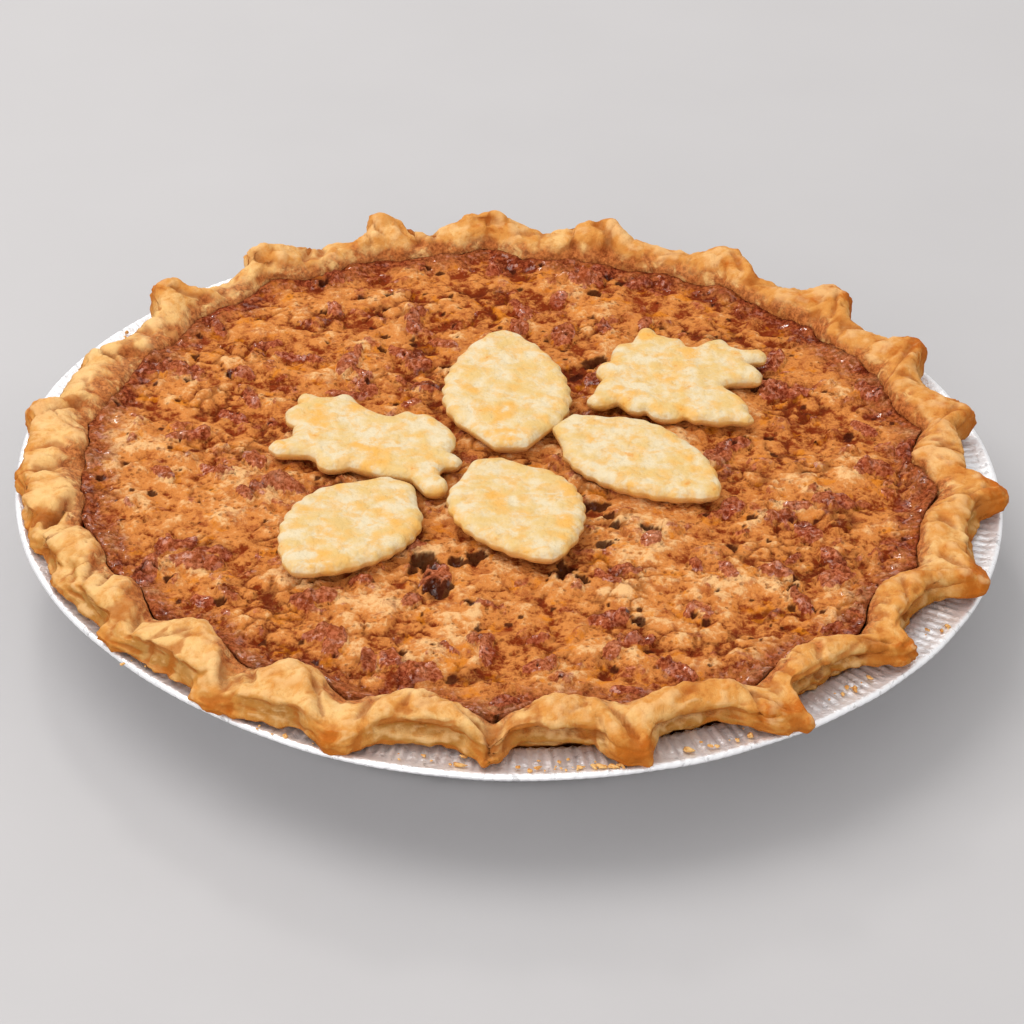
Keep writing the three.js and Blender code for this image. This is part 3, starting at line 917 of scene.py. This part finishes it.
def crumbs(material):
    """Crumbs of pastry lying on the tin's flange, most of them beside the pinches in front."""
    chance = random.Random(9)
    shape = bmesh.new()
    baked = shape.verts.layers.float.new("baked")
    raised_and_lit = shape.verts.layers.float.new("raised_and_lit")
    for heap_bearing, heap_radius, spread, count in CRUMB_HEAPS:
        for _ in range(count):
            size = 0.25 + 0.6 * chance.random() ** 2.5
            bearing = radians(heap_bearing + chance.gauss(0, spread))
            radius = min(130, max(122, heap_radius + chance.gauss(0, 1.5)))
            place = around(bearing, radius, TIN_DEPTH + 0.6 + 0.4 * size)
            turn = Matrix.Rotation(chance.uniform(0, pi), 4, "Z")
            squash = Matrix.Diagonal((chance.uniform(0.8, 2), 1, chance.uniform(0.4, 0.8), 1))
            seat = Matrix.Translation(place) @ turn @ squash
            made = bmesh.ops.create_icosphere(shape, subdivisions=2, radius=size, matrix=seat)
            for corner in made["verts"]:
                away = corner.co - place
                corner.co = place + away * (1 + 0.9 * lumps(corner.co, 0.7, 3.0))
                corner[baked] = chance.random() ** 3
                # Each crumb takes a little of the crust's painted highlight.
                corner[raised_and_lit] = 0.7
    return finished(shape, "pastry_crumbs", material)


def baked_crust_finish():
    finish = Finish("baked_crust", Specular_IOR_Level=0.08)
    clouds = finish.noise(11, 4, 0.6)
    blotches = finish.noise(4, 4, 0.62, 0.6)
    grain = finish.noise(1.2, 4, 0.7)
    baked = finish.worked("baked")
    raw_and_shaded = finish.worked("raw_and_shaded")
    crease_shade = finish.worked("crease_shade")
    raised_and_lit = finish.worked("raised_and_lit")
    stained = finish.worked("stained")
    tone = baked * 0.75 + clouds * 0.7 + (blotches - 0.5) * 1.1 + (grain - 0.5) * 0.25
    dough = finish.blend(finish.between(tone, 0.3, 0.78), colour(236, 189, 122), colour(215, 146, 71))
    dough = finish.blend(finish.between(tone, 0.75, 1.15), dough, colour(190, 102, 28))
    # Olive-brown on the outward faces: partly the less-baked dough's own colour, partly painted shade.
    dough = finish.blend(raw_and_shaded * finish.between(clouds, 0.1, 0.5) * 0.9, dough, colour(160, 104, 36))
    # Painted shade on low and downward-facing places, painted highlight on raised and upward-facing ones.
    dough = finish.blend(finish.between(raised_and_lit, 0.45, 0.1) * 0.65, dough, colour(176, 94, 26))
    dough = finish.blend(finish.between(raised_and_lit, 0.6, 0.95) * 0.5, dough, colour(242, 200, 142))
    # Painted shade in the creases and wrinkles.
    dough = finish.blend(finish.between(crease_shade, 0.25, 1) * 0.55, dough, colour(150, 70, 14))
    specks = finish.between(finish.noise(2, 4, 0.75), 0.58, 0.7)
    dough = finish.blend(specks * 0.3, dough, colour(176, 92, 26))
    splash = finish.blend(finish.between(grain, 0.35, 0.65), colour(132, 58, 24), colour(206, 124, 66))
    dough = finish.blend(stained * finish.between(blotches, 0.3, 0.5) * 0.85, dough, splash)
    relief = finish.bump(grain + 0.8 * blotches, 0.5, finish.bump(finish.noise(0.5, 2, 0.6), 0.12))
    return finish.wear(Base_Color=dough, Roughness=0.55 + 0.25 * grain, Normal=relief)


def pecan_filling_finish():
    finish = Finish("pecan_filling", Coat_Roughness=0.12, Specular_IOR_Level=0.04)
    nut = finish.worked("nut")
    hollow = finish.worked("hollow")
    raised_and_lit = finish.worked("raised_and_lit")
    # Painted shade, darker towards the back of the filling.
    browning_and_shade = finish.worked("browning_and_shade")
    rim = finish.between(finish.worked("room") + finish.noise(6, 4, 0.65) * 18, 20, 10.5)
    broad = finish.noise(12, 3, 0.5)
    patches = finish.noise(3.6, 4, 0.62)
    crumbs = finish.noise(1.1, 4, 0.7)
    shaded_pores = 1 - finish.between(finish.cells(1.7), 0.1, 0.4)
    porous = finish.between(finish.noise(7, 2, 0.5), 0.42, 0.58)
    # The tone is lighter where the batter is raised: partly its paler skin, partly painted light.
    tone = patches * 0.8 + broad * 0.35 + (crumbs - 0.5) * 0.85 + (raised_and_lit - 0.5) * 0.7 - 0.16 * browning_and_shade
    batter = finish.blend(finish.between(tone, 0.17, 0.52), colour(130, 48, 12), colour(213, 134, 67))
    batter = finish.blend(finish.between(tone, 0.55, 0.9), batter, colour(238, 187, 128))
    amber = finish.between(finish.noise(6, 3, 0.6, 0.4), 0.57, 0.68)
    batter = finish.blend(amber * 0.6, batter, colour(222, 130, 22))
    nutty = finish.blend(finish.between(crumbs, 0.35, 0.66), colour(116, 36, 12), colour(202, 112, 78))
    bared = finish.between(nut + (patches - 0.5) * 1.2, 0.5, 0.75)
    mixed = finish.blend(bared * 0.85, batter, nutty)
    russet = finish.between(finish.noise(4, 4, 0.65, 0.5), 0.52, 0.66)
    mixed = finish.blend(russet * 0.45, mixed, colour(150, 62, 28))
    edging = finish.blend(finish.between(crumbs, 0.35, 0.65), colour(88, 26, 8), colour(172, 84, 50))
    mixed = finish.blend(rim * 0.8, mixed, edging)
    # Painted shade in small pores of the batter.
    mixed = finish.blend(shaded_pores * porous * 0.55, mixed, colour(118, 50, 14))
    # Painted shade in crevices, pits, bubbles and the dips round pecans.
    mixed = finish.blend(finish.between(hollow, 0.1, 0.85) * 0.9, mixed, colour(64, 20, 6))
    glints = finish.between(finish.noise(2.2, 3, 0.6), 0.53, 0.6)
    gloss = finish.maths("MAXIMUM", bared, rim) * glints
    relief = finish.bump(crumbs - 0.7 * shaded_pores * porous, 0.6, finish.bump(finish.noise(0.6, 2, 0.6), 0.1))
    return finish.wear(Base_Color=mixed, Roughness=0.7 - 0.25 * gloss, Coat_Weight=gloss, Normal=relief)


def pale_pastry_finish():
    finish = Finish("pale_pastry", Specular_IOR_Level=0.15)
    golden = finish.worked("golden")
    edge = finish.worked("edge")
    clouds = finish.noise(6, 4, 0.6)
    grain = finish.noise(1.2, 4, 0.65)
    pastry = finish.blend(finish.between(clouds, 0.35, 0.65), colour(224, 206, 170), colour(221, 186, 120))
    mottled = finish.between(finish.noise(5, 4, 0.6, 0.4), 0.46, 0.64)
    pastry = finish.blend(mottled * 0.7, pastry, colour(226, 174, 92))
    pastry = finish.blend(golden * finish.between(clouds, 0.36, 0.56) * 0.75, pastry, colour(232, 170, 74))
    # On the leaves: browned spots, the pastry's own colour.
    browning_and_shade = finish.between(finish.noise(5, 3, 0.6), 0.66, 0.74)
    pastry = finish.blend(browning_and_shade * 0.7, pastry, colour(218, 138, 50))
    # Golden-brown on the side walls: partly browning at the cut edges, partly painted shade.
    pastry = finish.blend(finish.between(edge, 0.3, 1) * 0.8, pastry, colour(208, 148, 68))
    relief = finish.bump(grain, 0.4, finish.bump(finish.noise(3, 2, 0.5), 0.8))
    return finish.wear(Base_Color=pastry, Roughness=0.55 + 0.2 * grain, Normal=relief)


def foil_finish():
    finish = Finish("bright_foil", Metallic=0.6)
    rolled = finish.noise(2.5, 3, 0.6)
    painted_reflection = finish.worked("painted_reflection")
    # Painted reflection: light and dark streaks along the pleats, brightest on the bead.
    sheen = finish.blend(painted_reflection, colour(224, 224, 227), colour(252, 252, 254))
    # Painted reflection: dark patches on the foil, standing in for darker things it mirrors.
    dark_reflection = finish.between(finish.noise(3.5, 4, 0.7, 0.8), 0.56, 0.66)
    sheen = finish.blend(dark_reflection * 0.45, sheen, colour(138, 134, 134))
    relief = finish.bump(finish.noise(1.3, 4, 0.65), 0.35)
    return finish.wear(Base_Color=sheen, Roughness=0.22 + 0.2 * rolled, Normal=relief)


def table_finish():
    finish = Finish("pale_table", Roughness=0.55)
    paint = finish.blend(finish.noise(60, 3, 0.5), colour(183, 181, 182), colour(189, 187, 188))
    return finish.wear(Base_Color=paint)


def table(material):
    shape = bmesh.new()
    bmesh.ops.create_grid(shape, x_segments=4, y_segments=4, size=3)
    mesh = bpy.data.meshes.new("table")
    shape.to_mesh(mesh)
    shape.free()
    mesh.materials.append(material)
    surface = bpy.data.objects.new("table", mesh)
    bpy.context.scene.collection.objects.link(surface)


# The camera looks down at the pie from in front, at the photograph's angle.
CAMERA_PLACE = (0, -0.898862, 0.600325)
CAMERA_RIGHT = Vector((0.99961394, 0.01354744, 0.02425754))
CAMERA_UP = Vector((-0.02772496, 0.54334664, 0.83905051))
CAMERA_LENS = 140.625


def camera():
    data = bpy.data.cameras.new("camera")
    data.sensor_width = 36
    data.lens = CAMERA_LENS
    seat = bpy.data.objects.new("camera", data)
    bpy.context.scene.collection.objects.link(seat)
    back = CAMERA_RIGHT.cross(CAMERA_UP)
    turn = Matrix((CAMERA_RIGHT, CAMERA_UP, back)).transposed().to_4x4()
    seat.matrix_world = Matrix.Translation(CAMERA_PLACE) @ turn
    bpy.context.scene.camera = seat


def soft_light(name, place, width, power, tint):
    data = bpy.data.lights.new(name, "AREA")
    data.shape = "DISK"
    data.size = width
    data.energy = power
    data.color = tint
    lamp = bpy.data.objects.new(name, data)
    bpy.context.scene.collection.objects.link(lamp)
    lamp.location = place
    lamp.rotation_euler = (-Vector(place)).to_track_quat("-Z", "Y").to_euler()


def studio():
    soft_light("window", (-0.85, 0.3, 1.65), 1.5, 15, (1, 0.98, 0.96))
    soft_light("lamp", (-0.5, 1.6, 1.35), 0.3, 4.2, (1, 0.98, 0.95))
    soft_light("bounce", (-0.6, -1.8, 0.7), 1.6, 12, (1, 0.99, 0.97))
    world = bpy.data.worlds.new("daylight")
    world.use_nodes = True
    sky = world.node_tree.nodes["Background"]
    sky.inputs["Color"].default_value = (1, 0.99, 0.98, 1)
    sky.inputs["Strength"].default_value = 0.84
    bpy.context.scene.world = world
    bpy.context.scene.view_settings.view_transform = "Standard"


foil_tin(foil_finish())
baked_crust = baked_crust_finish()
crust(baked_crust)
crumbs(baked_crust)
filling(pecan_filling_finish())
pale_pastry = pale_pastry_finish()
for leaf_name in LEAVES:
    leaf(leaf_name, pale_pastry)
table(table_finish())
camera()
studio()
